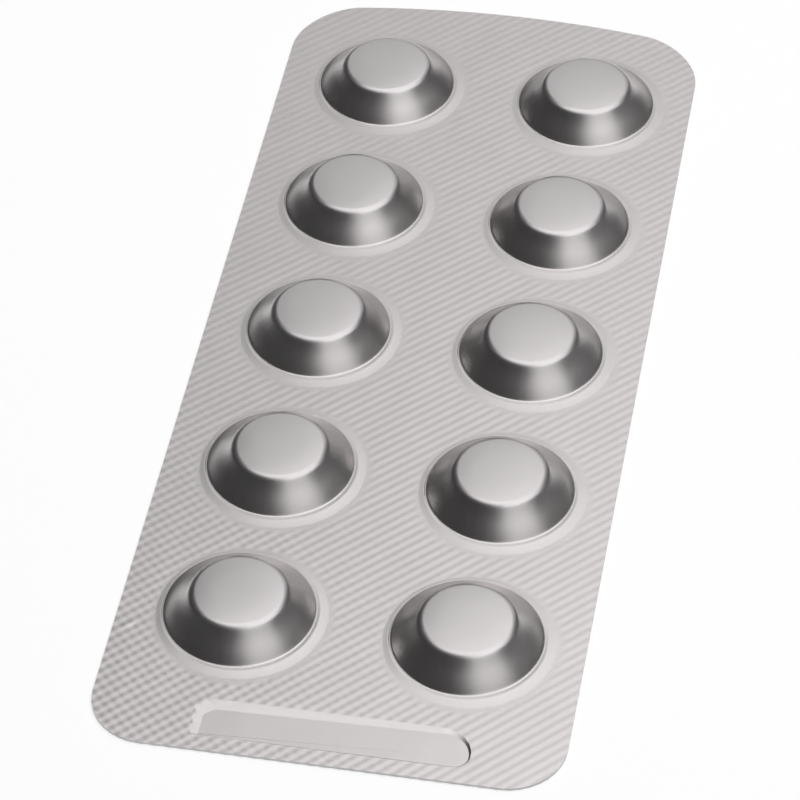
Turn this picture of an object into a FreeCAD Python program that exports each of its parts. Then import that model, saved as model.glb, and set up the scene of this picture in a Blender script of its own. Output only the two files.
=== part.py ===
import FreeCAD, Part
import math
import os

# A sealed pill blister pack that lies on its flat side, in millimetres.
# X is its width, Y its length with the smooth panel at the -Y end, Z is up.
# The origin is the middle of the flat underside.

# Card
card_width = 47.8
card_length = 117.2
near_corner_radius = 6.0
far_corner_radius = 7.0
far_end_rise = 2.5
plate_thickness = 0.25

# Pockets, measured to their corners before the corners are rounded
column_count = 2
row_count = 5
column_pitch = 23.4
row_pitch = 21.0
first_row_from_near_end = 18.7
grid_offset = 0.1
pocket_base_diameter = 15.5
pocket_top_diameter = 9.7
pocket_height = 3.0
shoulder_radius = 1.0

# Smooth collar round each pocket, pressed a little off the pocket's centre
collar_diameter = 18.2
collar_height = 0.08
collar_sides = 40
collar_shift_x = 0.5
collar_shift_y = -0.75

# Diagonal ridges of the sealed area
ridge_pitch = 1.0
ridge_height = 0.15
ridge_turn = -45.0

# Smooth panel sunk between the ridges near the -Y end
panel_length = 28.0
panel_width = 4.9
panel_from_near_end = 1.8
panel_shift_x = 0.65
panel_depth = 0.05
panel_far_radius = 3.2
panel_cut_corner = 1.2

# Levels and half sizes that follow from the above
UP = FreeCAD.Vector(0, 0, 1)
TINY = 1e-6
half_width = card_width / 2
half_length = card_length / 2
side_end = half_length - far_end_rise
ridge_top = plate_thickness + ridge_height
collar_top = plate_thickness + collar_height
pocket_top = collar_top + pocket_height


def pocket_centres():
    """The middle of each pocket, row by row from the -Y end."""
    first_x = grid_offset - column_pitch * (column_count - 1) / 2
    first_y = first_row_from_near_end - half_length
    for row in range(row_count):
        for column in range(column_count):
            yield FreeCAD.Vector(first_x + column * column_pitch, first_y + row * row_pitch, 0)


def corner_rounded(block, corner_y, radius):
    """Rounds the block's two upright side edges that stand at corner_y."""
    corners = []
    for edge in block.Edges:
        middle = edge.CenterOfMass
        if abs(abs(middle.x) - half_width) < TINY and abs(middle.y - corner_y) < TINY:
            corners.append(edge)
    return block.makeFillet(radius, corners)


def card_block():
    """The card's outline up to the ridge tops: a bowed far end and four rounded corners."""
    near_left = FreeCAD.Vector(-half_width, -half_length, 0)
    near_right = FreeCAD.Vector(half_width, -half_length, 0)
    far_right = FreeCAD.Vector(half_width, side_end, 0)
    far_left = FreeCAD.Vector(-half_width, side_end, 0)
    far_middle = FreeCAD.Vector(0, half_length, 0)
    edges = [
        Part.makeLine(near_left, near_right),
        Part.makeLine(near_right, far_right),
        Part.Arc(far_right, far_middle, far_left).toShape(),
        Part.makeLine(far_left, near_left),
    ]
    block = Part.Face(Part.Wire(edges)).extrude(UP * ridge_top)
    block = corner_rounded(block, -half_length, near_corner_radius)
    return corner_rounded(block, side_end, far_corner_radius)


def ridge_comb():
    """A slab with a row of ridges on top, turned to run across the card, larger than the card."""
    reach = math.hypot(half_width, half_length) + ridge_pitch
    count = math.ceil(reach / ridge_pitch)
    side = count * ridge_pitch
    profile = [FreeCAD.Vector(-side, -reach, 0), FreeCAD.Vector(-side, -reach, plate_thickness)]
    for step in range(-count, count):
        valley = step * ridge_pitch
        profile.append(FreeCAD.Vector(valley + ridge_pitch / 2, -reach, ridge_top))
        profile.append(FreeCAD.Vector(valley + ridge_pitch, -reach, plate_thickness))
    profile.append(FreeCAD.Vector(side, -reach, 0))
    profile.append(profile[0])
    comb = Part.Face(Part.makePolygon(profile)).extrude(FreeCAD.Vector(0, 2 * reach, 0))
    comb.rotate(FreeCAD.Vector(0, 0, 0), UP, ridge_turn)
    return comb


def collar_disc(centre, height):
    """The smooth area of one pocket, as a many-sided disc that stands on the underside."""
    middle = centre + FreeCAD.Vector(collar_shift_x, collar_shift_y, 0)
    corners = []
    for side in range(collar_sides + 1):
        angle = 2 * math.pi * side / collar_sides
        corners.append(middle + FreeCAD.Vector(math.cos(angle), math.sin(angle), 0) * (collar_diameter / 2))
    return Part.Face(Part.makePolygon(corners)).extrude(UP * height)


def pocket_cone(centre):
    """One filled pocket: a blunt cone whose rounded shoulder is one narrow bevel."""
    base_radius = pocket_base_diameter / 2
    top_radius = pocket_top_diameter / 2
    slope = math.atan2(pocket_height, base_radius - top_radius)
    shoulder_run = shoulder_radius * math.tan(slope / 2)
    bevel_radius = top_radius + shoulder_run * math.cos(slope)
    bevel_level = pocket_top - shoulder_run * math.sin(slope)
    profile = [
        FreeCAD.Vector(0, 0, 0),
        FreeCAD.Vector(base_radius, 0, 0),
        FreeCAD.Vector(base_radius, 0, collar_top),
        FreeCAD.Vector(bevel_radius, 0, bevel_level),
        FreeCAD.Vector(top_radius - shoulder_run, 0, pocket_top),
        FreeCAD.Vector(0, 0, pocket_top),
        FreeCAD.Vector(0, 0, 0),
    ]
    cone = Part.Face(Part.makePolygon(profile)).revolve(FreeCAD.Vector(0, 0, 0), UP, 360)
    cone.translate(centre)
    return cone


def panel_cutter():
    """What is cut away above the smooth panel: one end round, one corner cut off."""
    floor = plate_thickness - panel_depth
    left = panel_shift_x - panel_length / 2
    right = panel_shift_x + panel_length / 2
    near = panel_from_near_end - half_length
    far = near + panel_width
    near_radius = panel_width - panel_far_radius
    diagonal = math.sqrt(0.5)

    def point(x, y):
        return FreeCAD.Vector(x, y, floor)

    round_middle = point(right, near + near_radius)
    near_bend = point(right - near_radius * (1 - diagonal), near + near_radius * (1 - diagonal))
    far_bend = point(right - panel_far_radius * (1 - diagonal), far - panel_far_radius * (1 - diagonal))
    edges = [
        Part.makeLine(point(left, near), point(right - near_radius, near)),
        Part.Arc(point(right - near_radius, near), near_bend, round_middle).toShape(),
        Part.Arc(round_middle, far_bend, point(right - panel_far_radius, far)).toShape(),
        Part.makeLine(point(right - panel_far_radius, far), point(left + panel_cut_corner, far)),
        Part.makeLine(point(left + panel_cut_corner, far), point(left, far - panel_cut_corner)),
        Part.makeLine(point(left, far - panel_cut_corner), point(left, near)),
    ]
    return Part.Face(Part.Wire(edges)).extrude(UP * (ridge_top + panel_depth))


def blister_pack():
    """The sealed pack as one solid: ridged card, smooth panel, collars and filled pockets."""
    card = ridge_comb().common(card_block())
    holes = [collar_disc(centre, pocket_top) for centre in pocket_centres()]
    card = card.cut(holes + [panel_cutter()])
    collars = [collar_disc(centre, collar_top) for centre in pocket_centres()]
    cones = [pocket_cone(centre) for centre in pocket_centres()]
    return card.fuse(collars + cones).removeSplitter()


os.makedirs("parts", exist_ok=True)
pack = blister_pack()
pack.exportStep("parts/blister_pack.step")
box = pack.BoundBox
print("solids", len(pack.Solids), "valid", pack.isValid(), "volume", round(pack.Volume, 1))
print("size", round(box.XLength, 3), round(box.YLength, 3), round(box.ZLength, 3))
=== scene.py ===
import math

import bmesh
import bpy
import numpy as np
from bpy.props import FloatProperty, FloatVectorProperty, IntProperty, PointerProperty
from mathutils import Matrix, Quaternion, Vector


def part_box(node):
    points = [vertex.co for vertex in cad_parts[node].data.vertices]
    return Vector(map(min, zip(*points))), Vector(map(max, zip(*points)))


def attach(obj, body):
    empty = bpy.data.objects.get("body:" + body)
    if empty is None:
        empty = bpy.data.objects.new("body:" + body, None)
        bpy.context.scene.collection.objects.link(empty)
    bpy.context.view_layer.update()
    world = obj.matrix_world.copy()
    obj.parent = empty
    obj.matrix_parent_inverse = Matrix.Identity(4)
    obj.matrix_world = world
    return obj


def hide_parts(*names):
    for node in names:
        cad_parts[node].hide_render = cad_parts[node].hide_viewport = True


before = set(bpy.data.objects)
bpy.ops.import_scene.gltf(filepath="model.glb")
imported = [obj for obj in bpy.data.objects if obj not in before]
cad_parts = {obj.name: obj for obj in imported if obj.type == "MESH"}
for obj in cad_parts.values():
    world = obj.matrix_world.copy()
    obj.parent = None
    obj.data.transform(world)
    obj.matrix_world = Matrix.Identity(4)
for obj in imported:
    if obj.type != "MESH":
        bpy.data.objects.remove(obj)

bl_info = {
    "name": "Pill Blister Pack",
    "version": (1, 0, 0),
    "blender": (4, 5, 0),
    "location": "3D View > Sidebar > Blister",
    "description": "Dresses a sealed foil blister card: knurled foil, blunt cone pockets and a smooth panel",
    "category": "Object",
}

MM = 0.001
NODE = "blister_pack"
BODY = "root"
CAD_LOW, CAD_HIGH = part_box(NODE)
UP = Vector((0, 0, 1))
# How far helper blocks reach past the card, and the small gap that keeps neighbouring corners apart
SPARE = 1.0 * MM
HAIR = 0.01 * MM


def length(name, description, default_mm, **more):
    """A length setting in metres, given its default in millimetres."""
    return FloatProperty(name=name, description=description, default=default_mm * MM, min=0, unit="LENGTH",
                         precision=5, **more)


def shift(name, description, default_mm):
    """A signed distance setting in metres, given its default in millimetres."""
    return FloatProperty(name=name, description=description, default=default_mm * MM, unit="LENGTH",
                         precision=5)


def flat_place(name, description, default_mm):
    """A place or a shift in X and Y in metres, given its default in millimetres."""
    return FloatVectorProperty(name=name, description=description, size=2, unit="LENGTH", precision=5,
                               default=tuple(value * MM for value in default_mm))


class CardSizes(bpy.types.PropertyGroup):
    """The outline of the card and the thickness of its two foils"""
    near_corner: length("Near Corner", "Radius of the two corners beside the panel", 6.0)
    far_corner: length("Far Corner", "Radius of the two corners at the bowed end", 7.0)
    far_rise: length("Far Rise", "How far the far end bows out past its corners", 2.5)
    lidding: length("Lidding", "Thickness of the lidding foil with its knurling", 0.05)
    sealed_level: length("Sealed Level", "Mean height of the knurled foil over the underside", 0.325)


class KnurlSizes(bpy.types.PropertyGroup):
    """The two sets of pressed ridges"""
    pitch: length("Pitch", "Distance from ridge to ridge", 1.0)
    main_rise: length("Main Rise", "Half height of the ridges that run with the main diagonal", 0.0078)
    cross_rise: length("Cross Rise", "Half height of the ridges that cross them", 0.0035)
    corner_rise: length("Corner Rise", "What the crossing ridges gain towards the near left corner", 0.015)
    corner_reach: length("Corner Reach", "How far from that corner the gain reaches", 50.0)
    lidding_rise: length("Lidding Rise", "Half height of the ridges on the lidding foil", 0.01)
    mark_place: flat_place("Mark Place", "Where one stretch of ridge stands prouder", (-22.3, -43.6))
    mark_rise: length("Mark Rise", "How much prouder that stretch stands", 0.03)
    steps_across: IntProperty(name="Steps Across", default=5, min=3,
                              description="Mesh steps to one pitch across the main ridges")
    steps_along: IntProperty(name="Steps Along", default=4, min=2,
                             description="Mesh steps to one pitch along the main ridges")


class PocketSizes(bpy.types.PropertyGroup):
    """The pockets and the smooth collars round them"""
    columns: IntProperty(name="Columns", description="Pockets side by side", default=2, min=1)
    rows: IntProperty(name="Rows", description="Pockets along the card", default=5, min=1)
    column_pitch: length("Column Pitch", "From pocket to pocket across the card", 23.4)
    row_pitch: length("Row Pitch", "From pocket to pocket along the card", 21.0)
    first_row: length("First Row", "From the near edge to the first pockets' centres", 18.7)
    grid_offset: shift("Grid Offset", "How far the pockets stand to the right of the card's middle", 0.1)
    base_radius: length("Base Radius", "Pocket radius at its foot, before rounding", 7.75)
    top_radius: length("Top Radius", "Pocket radius at its flat top, before rounding", 4.85)
    shoulder: length("Shoulder", "How far the shoulder's rounding reaches from its corner", 0.45)
    foot: length("Foot", "How far the foot's rounding reaches from its corner", 0.16)
    collar_radius: length("Collar Radius", "Radius of the smooth collar", 9.1)
    collar_fade: length("Collar Fade", "Width over which the ridges run out at the collar", 0.35)
    collar_shift: flat_place("Collar Shift", "Collar's centre from the pocket's centre", (0.42, -0.62))
    collar_crest: length("Collar Crest", "How far the collar's crest stands over the sealed level", 0.1)
    crest_gap: length("Crest Gap", "From the foot's corner to the collar's crest", 0.35)
    crown: length("Crown", "How much the flat top bulges", 0.12)
    wall_bend: length("Wall Bend", "How far the wall sinks in above its middle and bulges below it", 0.045)
    turns: IntProperty(name="Turns", description="Mesh steps round a pocket", default=96, min=24)


class PanelSizes(bpy.types.PropertyGroup):
    """The smooth sunk panel near the near edge"""
    width: length("Length", "Length of the panel across the card", 28.0)
    depth_y: length("Width", "Width of the panel along the card", 4.9)
    near_gap: length("Near Gap", "Knurled strip between the panel and the near edge", 1.8)
    offset: shift("Offset", "How far the panel stands to the right of the card's middle", 0.65)
    far_round: length("Far Round", "Radius of the right end's far corner", 3.2)
    cut_corner: length("Cut Corner", "Size of the cut corner at the left end", 1.2)
    floor_level: length("Floor Level", "Height of the panel's floor over the underside", 0.2)
    wall_run: length("Wall Run", "Width of the panel's sloped wall", 0.22)
    left_run: length("Left Run", "What the wall at the left end is wider", 0.7)
    far_run: length("Far Run", "What the wall at the far edge is wider at its left", 1.1)


def settings():
    """The scene's setting groups: card, knurl, pockets, panel."""
    scene = bpy.context.scene
    return scene.blister_card, scene.blister_knurl, scene.blister_pockets, scene.blister_panel


def linked(name, mesh):
    """A new object at the origin that holds the mesh."""
    piece = bpy.data.objects.new(name, mesh)
    bpy.context.scene.collection.objects.link(piece)
    return piece


def from_bmesh(name, bm):
    """A new object from a bmesh, with its faces turned outward."""
    bmesh.ops.recalc_face_normals(bm, faces=bm.faces)
    mesh = bpy.data.meshes.new(name)
    bm.to_mesh(mesh)
    bm.free()
    return linked(name, mesh)


def dropped(piece):
    """Removes a helper object and its mesh."""
    mesh = piece.data
    bpy.data.objects.remove(piece)
    bpy.data.meshes.remove(mesh)


def combine(base, tool, operation):
    """Joins tool to base, cuts it from base or keeps what both hold, then removes tool."""
    modifier = base.modifiers.new(operation.title(), "BOOLEAN")
    modifier.operation = operation
    modifier.solver = "MANIFOLD"
    modifier.object = tool
    depsgraph = bpy.context.evaluated_depsgraph_get()
    mesh = bpy.data.meshes.new_from_object(base.evaluated_get(depsgraph))
    base.modifiers.clear()
    old = base.data
    base.data = mesh
    bpy.data.meshes.remove(old)
    dropped(tool)
    if not len(mesh.polygons):
        raise RuntimeError(f"{operation} left nothing of {base.name}")


def pocket_centres(card_low, pockets):
    """The middle of each pocket, row by row from the near end."""
    first_x = pockets.grid_offset - pockets.column_pitch * (pockets.columns - 1) / 2
    first_y = card_low.y + pockets.first_row
    for row in range(pockets.rows):
        for column in range(pockets.columns):
            yield Vector((first_x + column * pockets.column_pitch, first_y + row * pockets.row_pitch, 0))


def card_block(name, card, bottom, top):
    """The card's outline as a closed block between two levels: rounded corners and a bowed far end."""
    low, high = CAD_LOW, CAD_HIGH
    side_end = high.y - card.far_rise
    bm = bmesh.new()
    place = Matrix.Translation(((low.x + high.x) / 2, (low.y + side_end) / 2, bottom))
    size = Matrix.Diagonal((high.x - low.x, side_end - low.y, 1, 1))
    bmesh.ops.create_grid(bm, x_segments=1, y_segments=1, size=0.5, matrix=place @ size)
    for edge_y, radius in ((low.y, card.near_corner), (side_end, card.far_corner)):
        corners = [v for v in bm.verts if abs(v.co.y - edge_y) < HAIR]
        bmesh.ops.bevel(bm, geom=corners, offset=radius, offset_type="OFFSET", segments=24, profile=0.5,
                        affect="VERTICES", material=-1)
    far_edge = max(bm.edges, key=lambda e: min(v.co.y for v in e.verts))
    bmesh.ops.subdivide_edges(bm, edges=[far_edge], cuts=32)
    bow_start = side_end - card.far_corner
    for v in bm.verts:
        share = max(0.0, (v.co.y - bow_start) / card.far_corner)
        v.co.y += card.far_rise * share * (1 - (v.co.x / high.x) ** 2)
    grown = bmesh.ops.extrude_face_region(bm, geom=list(bm.faces))
    bmesh.ops.translate(bm, verts=[v for v in grown["geom"] if isinstance(v, bmesh.types.BMVert)],
                        vec=UP * (top - bottom))
    return from_bmesh(name, bm)


def knurled_slab(name, knurl, steps_across, height_at, flat_level):
    """A closed slab wider than the card: one side follows height_at(x, y), the other is flat."""
    reach = math.hypot(CAD_HIGH.x, CAD_HIGH.y) + knurl.pitch
    pitches = math.ceil(reach / knurl.pitch)
    half = pitches * knurl.pitch
    turn = Matrix.Rotation(math.radians(-45), 4, "Z")
    size = Matrix.Diagonal((half, half, 1, 1))
    bm = bmesh.new()
    bmesh.ops.create_grid(bm, x_segments=2 * pitches * steps_across,
                          y_segments=2 * pitches * knurl.steps_along, size=1, matrix=turn @ size)
    spare = 1.5 * knurl.pitch
    outside = [v for v in bm.verts if abs(v.co.x) > CAD_HIGH.x + spare or abs(v.co.y) > CAD_HIGH.y + spare]
    bmesh.ops.delete(bm, geom=outside, context="VERTS")
    mesh = bpy.data.meshes.new(name)
    bm.to_mesh(mesh)
    bm.free()
    places = np.empty(len(mesh.vertices) * 3)
    mesh.vertices.foreach_get("co", places)
    places = places.reshape(-1, 3)
    places[:, 2] = height_at(places[:, 0], places[:, 1])
    mesh.vertices.foreach_set("co", places.ravel())
    bm = bmesh.new()
    bm.from_mesh(mesh)
    bpy.data.meshes.remove(mesh)
    rim = [e for e in bm.edges if e.is_boundary]
    grown = bmesh.ops.extrude_edge_only(bm, edges=rim)
    new_rim = [e for e in grown["geom"] if isinstance(e, bmesh.types.BMEdge) and e.is_boundary]
    for v in {v for e in new_rim for v in e.verts}:
        v.co.z = flat_level
    bmesh.ops.edgeloop_fill(bm, edges=new_rim)
    return from_bmesh(name, bm)


def ridges(x, y, knurl, main_rise, cross_rise):
    """The height of the two sets of ridges at each place, from the size of each set."""
    across = (x - y) / math.sqrt(2)
    along = (x + y) / math.sqrt(2)
    turn = 2 * math.pi / knurl.pitch
    return main_rise * np.cos(turn * across) + cross_rise * np.cos(turn * along)


def proud_mark(x, y, knurl):
    """The added height of the short stretch of ridge that stands prouder beside the left edge."""
    right = x - knurl.mark_place[0]
    back = y - knurl.mark_place[1]
    mark_width = 0.35 * MM
    mark_length = 0.9 * MM
    across = (right - back) / mark_width
    along = (right + back) / mark_length
    return knurl.mark_rise * np.exp(-across ** 2 - along ** 2)


def inside_collars(x, y, pockets):
    """1 within the collars, 0 outside them, with a short smooth fade between."""
    share = np.zeros_like(x)
    for centre in pocket_centres(CAD_LOW, pockets):
        distance = np.hypot(x - centre.x - pockets.collar_shift[0], y - centre.y - pockets.collar_shift[1])
        fade = (pockets.collar_radius + pockets.collar_fade - distance) / pockets.collar_fade
        share = np.maximum(share, np.clip(fade, 0, 1))
    return share * share * (3 - 2 * share)


def rounded_profile(points, rounding):
    """Vertices and edges through points (radius, level), with the named corners rounded by a bevel."""
    bm = bmesh.new()
    verts = [bm.verts.new((radius, 0, level)) for radius, level in points]
    for first, second in zip(verts, verts[1:]):
        bm.edges.new((first, second))
    for index, (reach, segments) in rounding.items():
        bmesh.ops.bevel(bm, geom=[verts[index]], offset=reach, offset_type="OFFSET", segments=segments,
                        profile=0.5, affect="VERTICES", material=-1)
    return bm


def pocket_solid(name, centre, card, pockets):
    """One pocket with its low collar: a closed turned solid, the collar off the pocket's axis."""
    top = CAD_HIGH.z
    level = card.sealed_level
    edge = pockets.collar_radius
    shoulder = Vector((pockets.top_radius, top - pockets.crown))
    foot = Vector((pockets.base_radius, level + pockets.collar_crest * 0.5))
    outward = Vector((shoulder.y - foot.y, foot.x - shoulder.x)).normalized() * pockets.wall_bend
    points = [
        (0, top),
        (pockets.top_radius / 2, top - pockets.crown / 4),
        shoulder,
        shoulder.lerp(foot, 0.34) - outward,
        shoulder.lerp(foot, 0.76) + outward,
        foot,
        (pockets.base_radius + pockets.crest_gap, level + pockets.collar_crest),
        (edge, level - pockets.collar_crest * 0.5),
        (edge, level * 0.4),
        (0, level * 0.4),
    ]
    bend_reach = 0.6 * MM
    rounding = {
        2: (pockets.shoulder, 6),
        3: (bend_reach, 3),
        4: (bend_reach, 3),
        5: (pockets.foot, 6),
        6: (pockets.foot * 0.5, 2),
    }
    bm = rounded_profile(points, rounding)
    bmesh.ops.spin(bm, geom=bm.verts[:] + bm.edges[:], cent=(0, 0, 0), axis=UP, angle=2 * math.pi,
                   steps=pockets.turns, use_merge=True)
    merge_reach = 0.0005 * MM
    bmesh.ops.remove_doubles(bm, verts=bm.verts, dist=merge_reach)
    collar_start = pockets.base_radius + pockets.foot
    offset = Vector((pockets.collar_shift[0], pockets.collar_shift[1], 0))
    for v in bm.verts:
        share = (v.co.xy.length - collar_start) / (edge - collar_start)
        if share > 0.01:
            fullness = 0.75 + 0.45 * v.co.xy.normalized().dot(offset.xy.normalized())
            if v.co.z > level * 0.8:
                v.co.z = level + (v.co.z - level) * fullness
            v.co += offset * share
    bmesh.ops.translate(bm, verts=bm.verts, vec=centre)
    return from_bmesh(name, bm)


def panel_cutter(panel):
    """What is cut out for the panel: a closed block whose sloped walls meet its floor."""
    left = panel.offset - panel.width / 2
    right = panel.offset + panel.width / 2
    near = CAD_LOW.y + panel.near_gap
    far = near + panel.depth_y
    above = CAD_LOW.z + SPARE
    rim_level = CAD_LOW.z + 0.345 * MM
    bm = bmesh.new()
    place = Matrix.Translation(((left + right) / 2, (near + far) / 2, rim_level))
    size = Matrix.Diagonal((right - left, far - near, 1, 1))
    bmesh.ops.create_grid(bm, x_segments=1, y_segments=1, size=0.5, matrix=place @ size)
    near_round = panel.depth_y - panel.far_round
    near_left_round = 0.3 * MM
    corners = (
        (right, far, panel.far_round - HAIR, 16),
        (right, near, near_round - HAIR, 12),
        (left, far, panel.cut_corner, 1),
        (left, near, near_left_round, 3),
    )
    for x, y, reach, segments in corners:
        corner = min(bm.verts, key=lambda v: (v.co.xy - Vector((x, y))).length)
        bmesh.ops.bevel(bm, geom=[corner], offset=reach, offset_type="OFFSET", segments=segments, profile=0.5,
                        affect="VERTICES", material=-1)
    floor = bm.faces[:]
    rim = [e for e in bm.edges if e.is_boundary]
    grown = bmesh.ops.extrude_edge_only(bm, edges=rim)
    upper = [e for e in grown["geom"] if isinstance(e, bmesh.types.BMEdge) and e.is_boundary]
    for v in {v for e in upper for v in e.verts}:
        v.co.z = above
    bmesh.ops.edgeloop_fill(bm, edges=upper)
    bmesh.ops.recalc_face_normals(bm, faces=bm.faces)
    bmesh.ops.inset_region(bm, faces=floor, thickness=panel.wall_run, use_even_offset=True)
    left_end = left + panel.cut_corner + panel.wall_run + SPARE / 10
    far_wall_narrowing = 0.7
    floor_edge = 0.12 * MM
    for v in {v for face in floor for v in face.verts}:
        v.co.z = panel.floor_level
        v.co.x += panel.left_run if v.co.x < left_end else 0
        taper = 1 - far_wall_narrowing * (v.co.x - left) / panel.width
        v.co.y -= panel.far_run * taper * max(0.0, (v.co.y - near) / panel.depth_y)
    bmesh.ops.inset_region(bm, faces=floor, thickness=floor_edge, use_even_offset=True)
    return from_bmesh("panel_cutter", bm)


def satin_foil(name, colour, roughness):
    """Rolled aluminium foil: satin metal with faint rolling lines and soft unevenness, with painted shade
    that darkens the colour towards the pocket tops.
    """
    material = bpy.data.materials.new(name)
    material.use_nodes = True
    nodes = material.node_tree.nodes
    links = material.node_tree.links
    shader = nodes["Principled BSDF"]
    shader.inputs["Metallic"].default_value = 1.0
    place = nodes.new("ShaderNodeTexCoord")
    lines_place = nodes.new("ShaderNodeMapping")
    lines_place.inputs["Scale"].default_value = (6000, 220, 220)
    lines = nodes.new("ShaderNodeTexNoise")
    lines.inputs["Scale"].default_value = 1.0
    lines.inputs["Detail"].default_value = 3.0
    soft = nodes.new("ShaderNodeTexNoise")
    soft.inputs["Scale"].default_value = 160.0
    soft.inputs["Detail"].default_value = 2.0
    tone = nodes.new("ShaderNodeMix")
    tone.data_type = "RGBA"
    tone.inputs["A"].default_value = (*[c * 0.94 for c in colour], 1)
    tone.inputs["B"].default_value = (*colour, 1)
    height = nodes.new("ShaderNodeSeparateXYZ")
    # Painted shade: from 2.2 mm up to the pocket tops at 3.0 mm the colour is multiplied down by about 5 %.
    painted_top_shade_share = nodes.new("ShaderNodeMapRange")
    painted_top_shade_share.inputs["From Min"].default_value = 2.2 * MM
    painted_top_shade_share.inputs["From Max"].default_value = 3.0 * MM
    painted_top_shade = nodes.new("ShaderNodeMix")
    painted_top_shade.data_type = "RGBA"
    painted_top_shade.blend_type = "MULTIPLY"
    painted_top_shade.inputs["B"].default_value = (0.95, 0.95, 0.96, 1)
    rough = nodes.new("ShaderNodeMapRange")
    rough.inputs["To Min"].default_value = roughness - 0.04
    rough.inputs["To Max"].default_value = roughness + 0.04
    grain = nodes.new("ShaderNodeBump")
    grain.inputs["Strength"].default_value = 0.04
    grain.inputs["Distance"].default_value = 0.004 * MM
    wave = nodes.new("ShaderNodeBump")
    wave.inputs["Strength"].default_value = 1.0
    wave.inputs["Distance"].default_value = 0.03 * MM
    links.new(place.outputs["Object"], lines_place.inputs["Vector"])
    links.new(lines_place.outputs["Vector"], lines.inputs["Vector"])
    links.new(place.outputs["Object"], soft.inputs["Vector"])
    links.new(soft.outputs["Fac"], tone.inputs["Factor"])
    links.new(place.outputs["Object"], height.inputs["Vector"])
    links.new(height.outputs["Z"], painted_top_shade_share.inputs["Value"])
    links.new(painted_top_shade_share.outputs["Result"], painted_top_shade.inputs["Factor"])
    links.new(tone.outputs["Result"], painted_top_shade.inputs["A"])
    links.new(painted_top_shade.outputs["Result"], shader.inputs["Base Color"])
    links.new(lines.outputs["Fac"], rough.inputs["Value"])
    links.new(rough.outputs["Result"], shader.inputs["Roughness"])
    links.new(soft.outputs["Fac"], wave.inputs["Height"])
    links.new(lines.outputs["Fac"], grain.inputs["Height"])
    links.new(wave.outputs["Normal"], grain.inputs["Normal"])
    links.new(grain.outputs["Normal"], shader.inputs["Normal"])
    return material


def cut_edge_and_painted_shadow():
    """The dull, rough grey of the foil where the card was cut out, with its colour darkened as painted shadow
    where the card's edge meets the floor.
    """
    material = bpy.data.materials.new("cut_edge_painted_shadow")
    material.use_nodes = True
    shader = material.node_tree.nodes["Principled BSDF"]
    # Painted shadow: this darker grey stands in for the shadow along the card's foot.
    shader.inputs["Base Color"].default_value = (0.6, 0.6, 0.61, 1)
    shader.inputs["Metallic"].default_value = 1.0
    shader.inputs["Roughness"].default_value = 0.6
    return material


def finished(piece, material):
    """Gives the piece its foil, a dull cut edge with painted shadow in its colour, crisp folds in smooth
    shading and its place in the frame.
    """
    upright = 0.1
    fold_angle = math.radians(12.5)
    piece.data.materials.clear()
    piece.data.materials.append(material)
    piece.data.materials.append(cut_edge_and_painted_shadow())
    # Upright faces, the card's cut sides, take the darker grey of painted shadow.
    for face in piece.data.polygons:
        face.material_index = int(abs(face.normal.z) < upright)
    piece.data.shade_smooth()
    piece.data.set_sharp_from_angle(angle=fold_angle)
    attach(piece, BODY)
    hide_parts(NODE)


class BLISTER_OT_formed_foil(bpy.types.Operator):
    """Makes the formed foil: knurled sheet, pockets with their collars, and the smooth panel"""
    bl_idname = "blister.formed_foil"
    bl_label = "Formed Foil"

    def execute(self, context):
        card, knurl, pockets, panel = settings()

        def height_at(x, y):
            from_corner = np.hypot(x - CAD_LOW.x, y - CAD_LOW.y) / knurl.corner_reach
            cross_rise = knurl.cross_rise + knurl.corner_rise * np.clip(1 - from_corner, 0, 1)
            rise = ridges(x, y, knurl, knurl.main_rise, cross_rise)
            return card.sealed_level + rise * (1 - inside_collars(x, y, pockets)) + proud_mark(x, y, knurl)

        foil = knurled_slab("formed_foil", knurl, knurl.steps_across, height_at, card.lidding * 0.5)
        combine(foil, card_block("outline", card, card.lidding, SPARE), "INTERSECT")
        for index, centre in enumerate(pocket_centres(CAD_LOW, pockets)):
            combine(foil, pocket_solid(f"pocket_{index}", centre, card, pockets), "UNION")
        combine(foil, panel_cutter(panel), "DIFFERENCE")
        finished(foil, satin_foil("formed_foil", (0.88, 0.845, 0.84), 0.34))
        return {"FINISHED"}


class BLISTER_OT_lidding_foil(bpy.types.Operator):
    """Makes the lidding foil on the underside, with the knurling showing through"""
    bl_idname = "blister.lidding_foil"
    bl_label = "Lidding Foil"

    def execute(self, context):
        card, knurl, pockets, _ = settings()

        def height_at(x, y):
            depth = 2 * knurl.lidding_rise
            knurled = depth - ridges(x, y, knurl, knurl.lidding_rise, knurl.lidding_rise)
            share = inside_collars(x, y, pockets)
            return np.maximum(knurled * (1 - share) + depth * share, 0)

        lid = knurled_slab("lidding_foil", knurl, knurl.steps_along, height_at, card.lidding * 2)
        combine(lid, card_block("outline", card, -SPARE, card.lidding), "INTERSECT")
        finished(lid, satin_foil("lidding_foil", (0.86, 0.83, 0.82), 0.24))
        return {"FINISHED"}


def area_light(name, place, size, strength):
    """A rectangular softbox at place that faces the card. Strength is its brightness as a surface."""
    light = bpy.data.lights.new(name, "AREA")
    light.shape = "RECTANGLE"
    light.size, light.size_y = size
    light.energy = strength * math.pi * size[0] * size[1]
    lamp = linked(name, light)
    lamp.location = place
    lamp.rotation_euler = (-Vector(place)).to_track_quat("-Z", "Y").to_euler()


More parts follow.
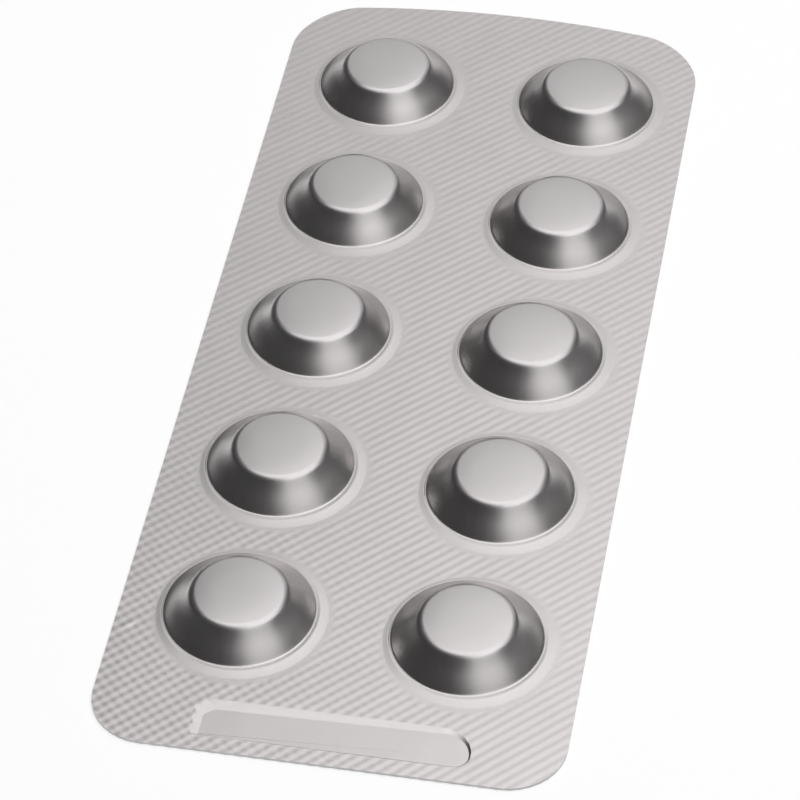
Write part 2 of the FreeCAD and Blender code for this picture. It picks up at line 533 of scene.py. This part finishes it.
class BLISTER_OT_stage(bpy.types.Operator):
    """Makes the floor, the soft lights, the dim surroundings and the camera"""
    bl_idname = "blister.stage"
    bl_label = "Stage"

    def execute(self, context):
        scene = context.scene
        bm = bmesh.new()
        bmesh.ops.create_grid(bm, x_segments=1, y_segments=1, size=3.0)
        floor = from_bmesh("floor", bm)
        floor.data.materials.append(floor_paint())
        key_place = (0.599, -0.558, 0.878)
        area_light("far_softbox", (-0.02, 1.09, 0.606), (1.11, 0.72), 0.5)
        area_light("top_softbox", (0.171, 0.235, 1.164), (1.42, 1.22), 1.08)
        area_light("key_softbox", key_place, (0.9, 0.75), 0.72)
        area_light("key_halo", key_place, (1.25, 1.0), 0.22)
        area_light("right_softbox", (1.1, 0.35, 0.6), (0.8, 0.5), 0.08)
        scene.world = dim_world(0.03)
        scene.camera = camera_at()
        scene.view_settings.view_transform = "Standard"
        return {"FINISHED"}


def floor_paint():
    """Plain pale floor paint that keeps shadows and shows near white, in reflections too."""
    material = bpy.data.materials.new("pale_floor")
    material.use_nodes = True
    nodes = material.node_tree.nodes
    links = material.node_tree.links
    shader = nodes["Principled BSDF"]
    shader.inputs["Base Color"].default_value = (0.93, 0.93, 0.93, 1)
    shader.inputs["Roughness"].default_value = 0.8
    shader.inputs["Emission Color"].default_value = (1, 1, 1, 1)
    ray = nodes.new("ShaderNodeLightPath")
    seen = nodes.new("ShaderNodeMath")
    seen.operation = "MAXIMUM"
    seen_through = nodes.new("ShaderNodeMath")
    seen_through.operation = "MAXIMUM"
    lift = nodes.new("ShaderNodeMath")
    lift.operation = "MULTIPLY"
    lift.inputs[1].default_value = 0.58
    links.new(ray.outputs["Is Camera Ray"], seen.inputs[0])
    links.new(ray.outputs["Is Glossy Ray"], seen.inputs[1])
    links.new(seen.outputs["Value"], seen_through.inputs[0])
    links.new(ray.outputs["Is Transmission Ray"], seen_through.inputs[1])
    links.new(seen_through.outputs["Value"], lift.inputs[0])
    links.new(lift.outputs["Value"], shader.inputs["Emission Strength"])
    return material


def dim_world(brightness):
    """Even dim surroundings."""
    world = bpy.data.worlds.new("surroundings")
    world.use_nodes = True
    background = world.node_tree.nodes["Background"]
    background.inputs["Color"].default_value = (brightness, brightness, brightness, 1)
    return world


def camera_at():
    """The camera where the photograph was taken from."""
    place = Vector((54.0, -292.4, 287.8)) * MM
    target = Vector((-0.9, -7.5, 0.33)) * MM
    roll = math.radians(-1.1)
    lens = bpy.data.cameras.new("camera")
    lens.sensor_width = 36
    lens.lens = 171.74
    lens.clip_start = 0.01
    camera = linked("camera", lens)
    camera.location = place
    look = (target - place).to_track_quat("-Z", "Y")
    camera.rotation_euler = (look @ Quaternion((0, 0, 1), roll)).to_euler()
    return camera


class BLISTER_PT_panel(bpy.types.Panel):
    """Lists the settings and the steps"""
    bl_label = "Pill Blister Pack"
    bl_idname = "BLISTER_PT_panel"
    bl_space_type = "VIEW_3D"
    bl_region_type = "UI"
    bl_category = "Blister"

    def draw(self, context):
        layout = self.layout
        for title, group in zip(("Card", "Knurl", "Pockets", "Panel"), settings()):
            box = layout.box()
            box.label(text=title)
            for name in group.__annotations__:
                box.prop(group, name)
        for operator in OPERATORS:
            layout.operator(operator.bl_idname)


GROUPS = {
    "blister_card": CardSizes,
    "blister_knurl": KnurlSizes,
    "blister_pockets": PocketSizes,
    "blister_panel": PanelSizes,
}
OPERATORS = (BLISTER_OT_formed_foil, BLISTER_OT_lidding_foil, BLISTER_OT_stage)
CLASSES = (*GROUPS.values(), *OPERATORS, BLISTER_PT_panel)


def register():
    for cls in CLASSES:
        bpy.utils.register_class(cls)
    for name, group in GROUPS.items():
        setattr(bpy.types.Scene, name, PointerProperty(type=group))


def unregister():
    for name in GROUPS:
        delattr(bpy.types.Scene, name)
    for cls in reversed(CLASSES):
        bpy.utils.unregister_class(cls)


def main():
    """Makes the whole scene."""
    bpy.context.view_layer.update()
    register()
    bpy.ops.blister.formed_foil()
    bpy.ops.blister.lidding_foil()
    bpy.ops.blister.stage()


if __name__ == "__main__":
    main()
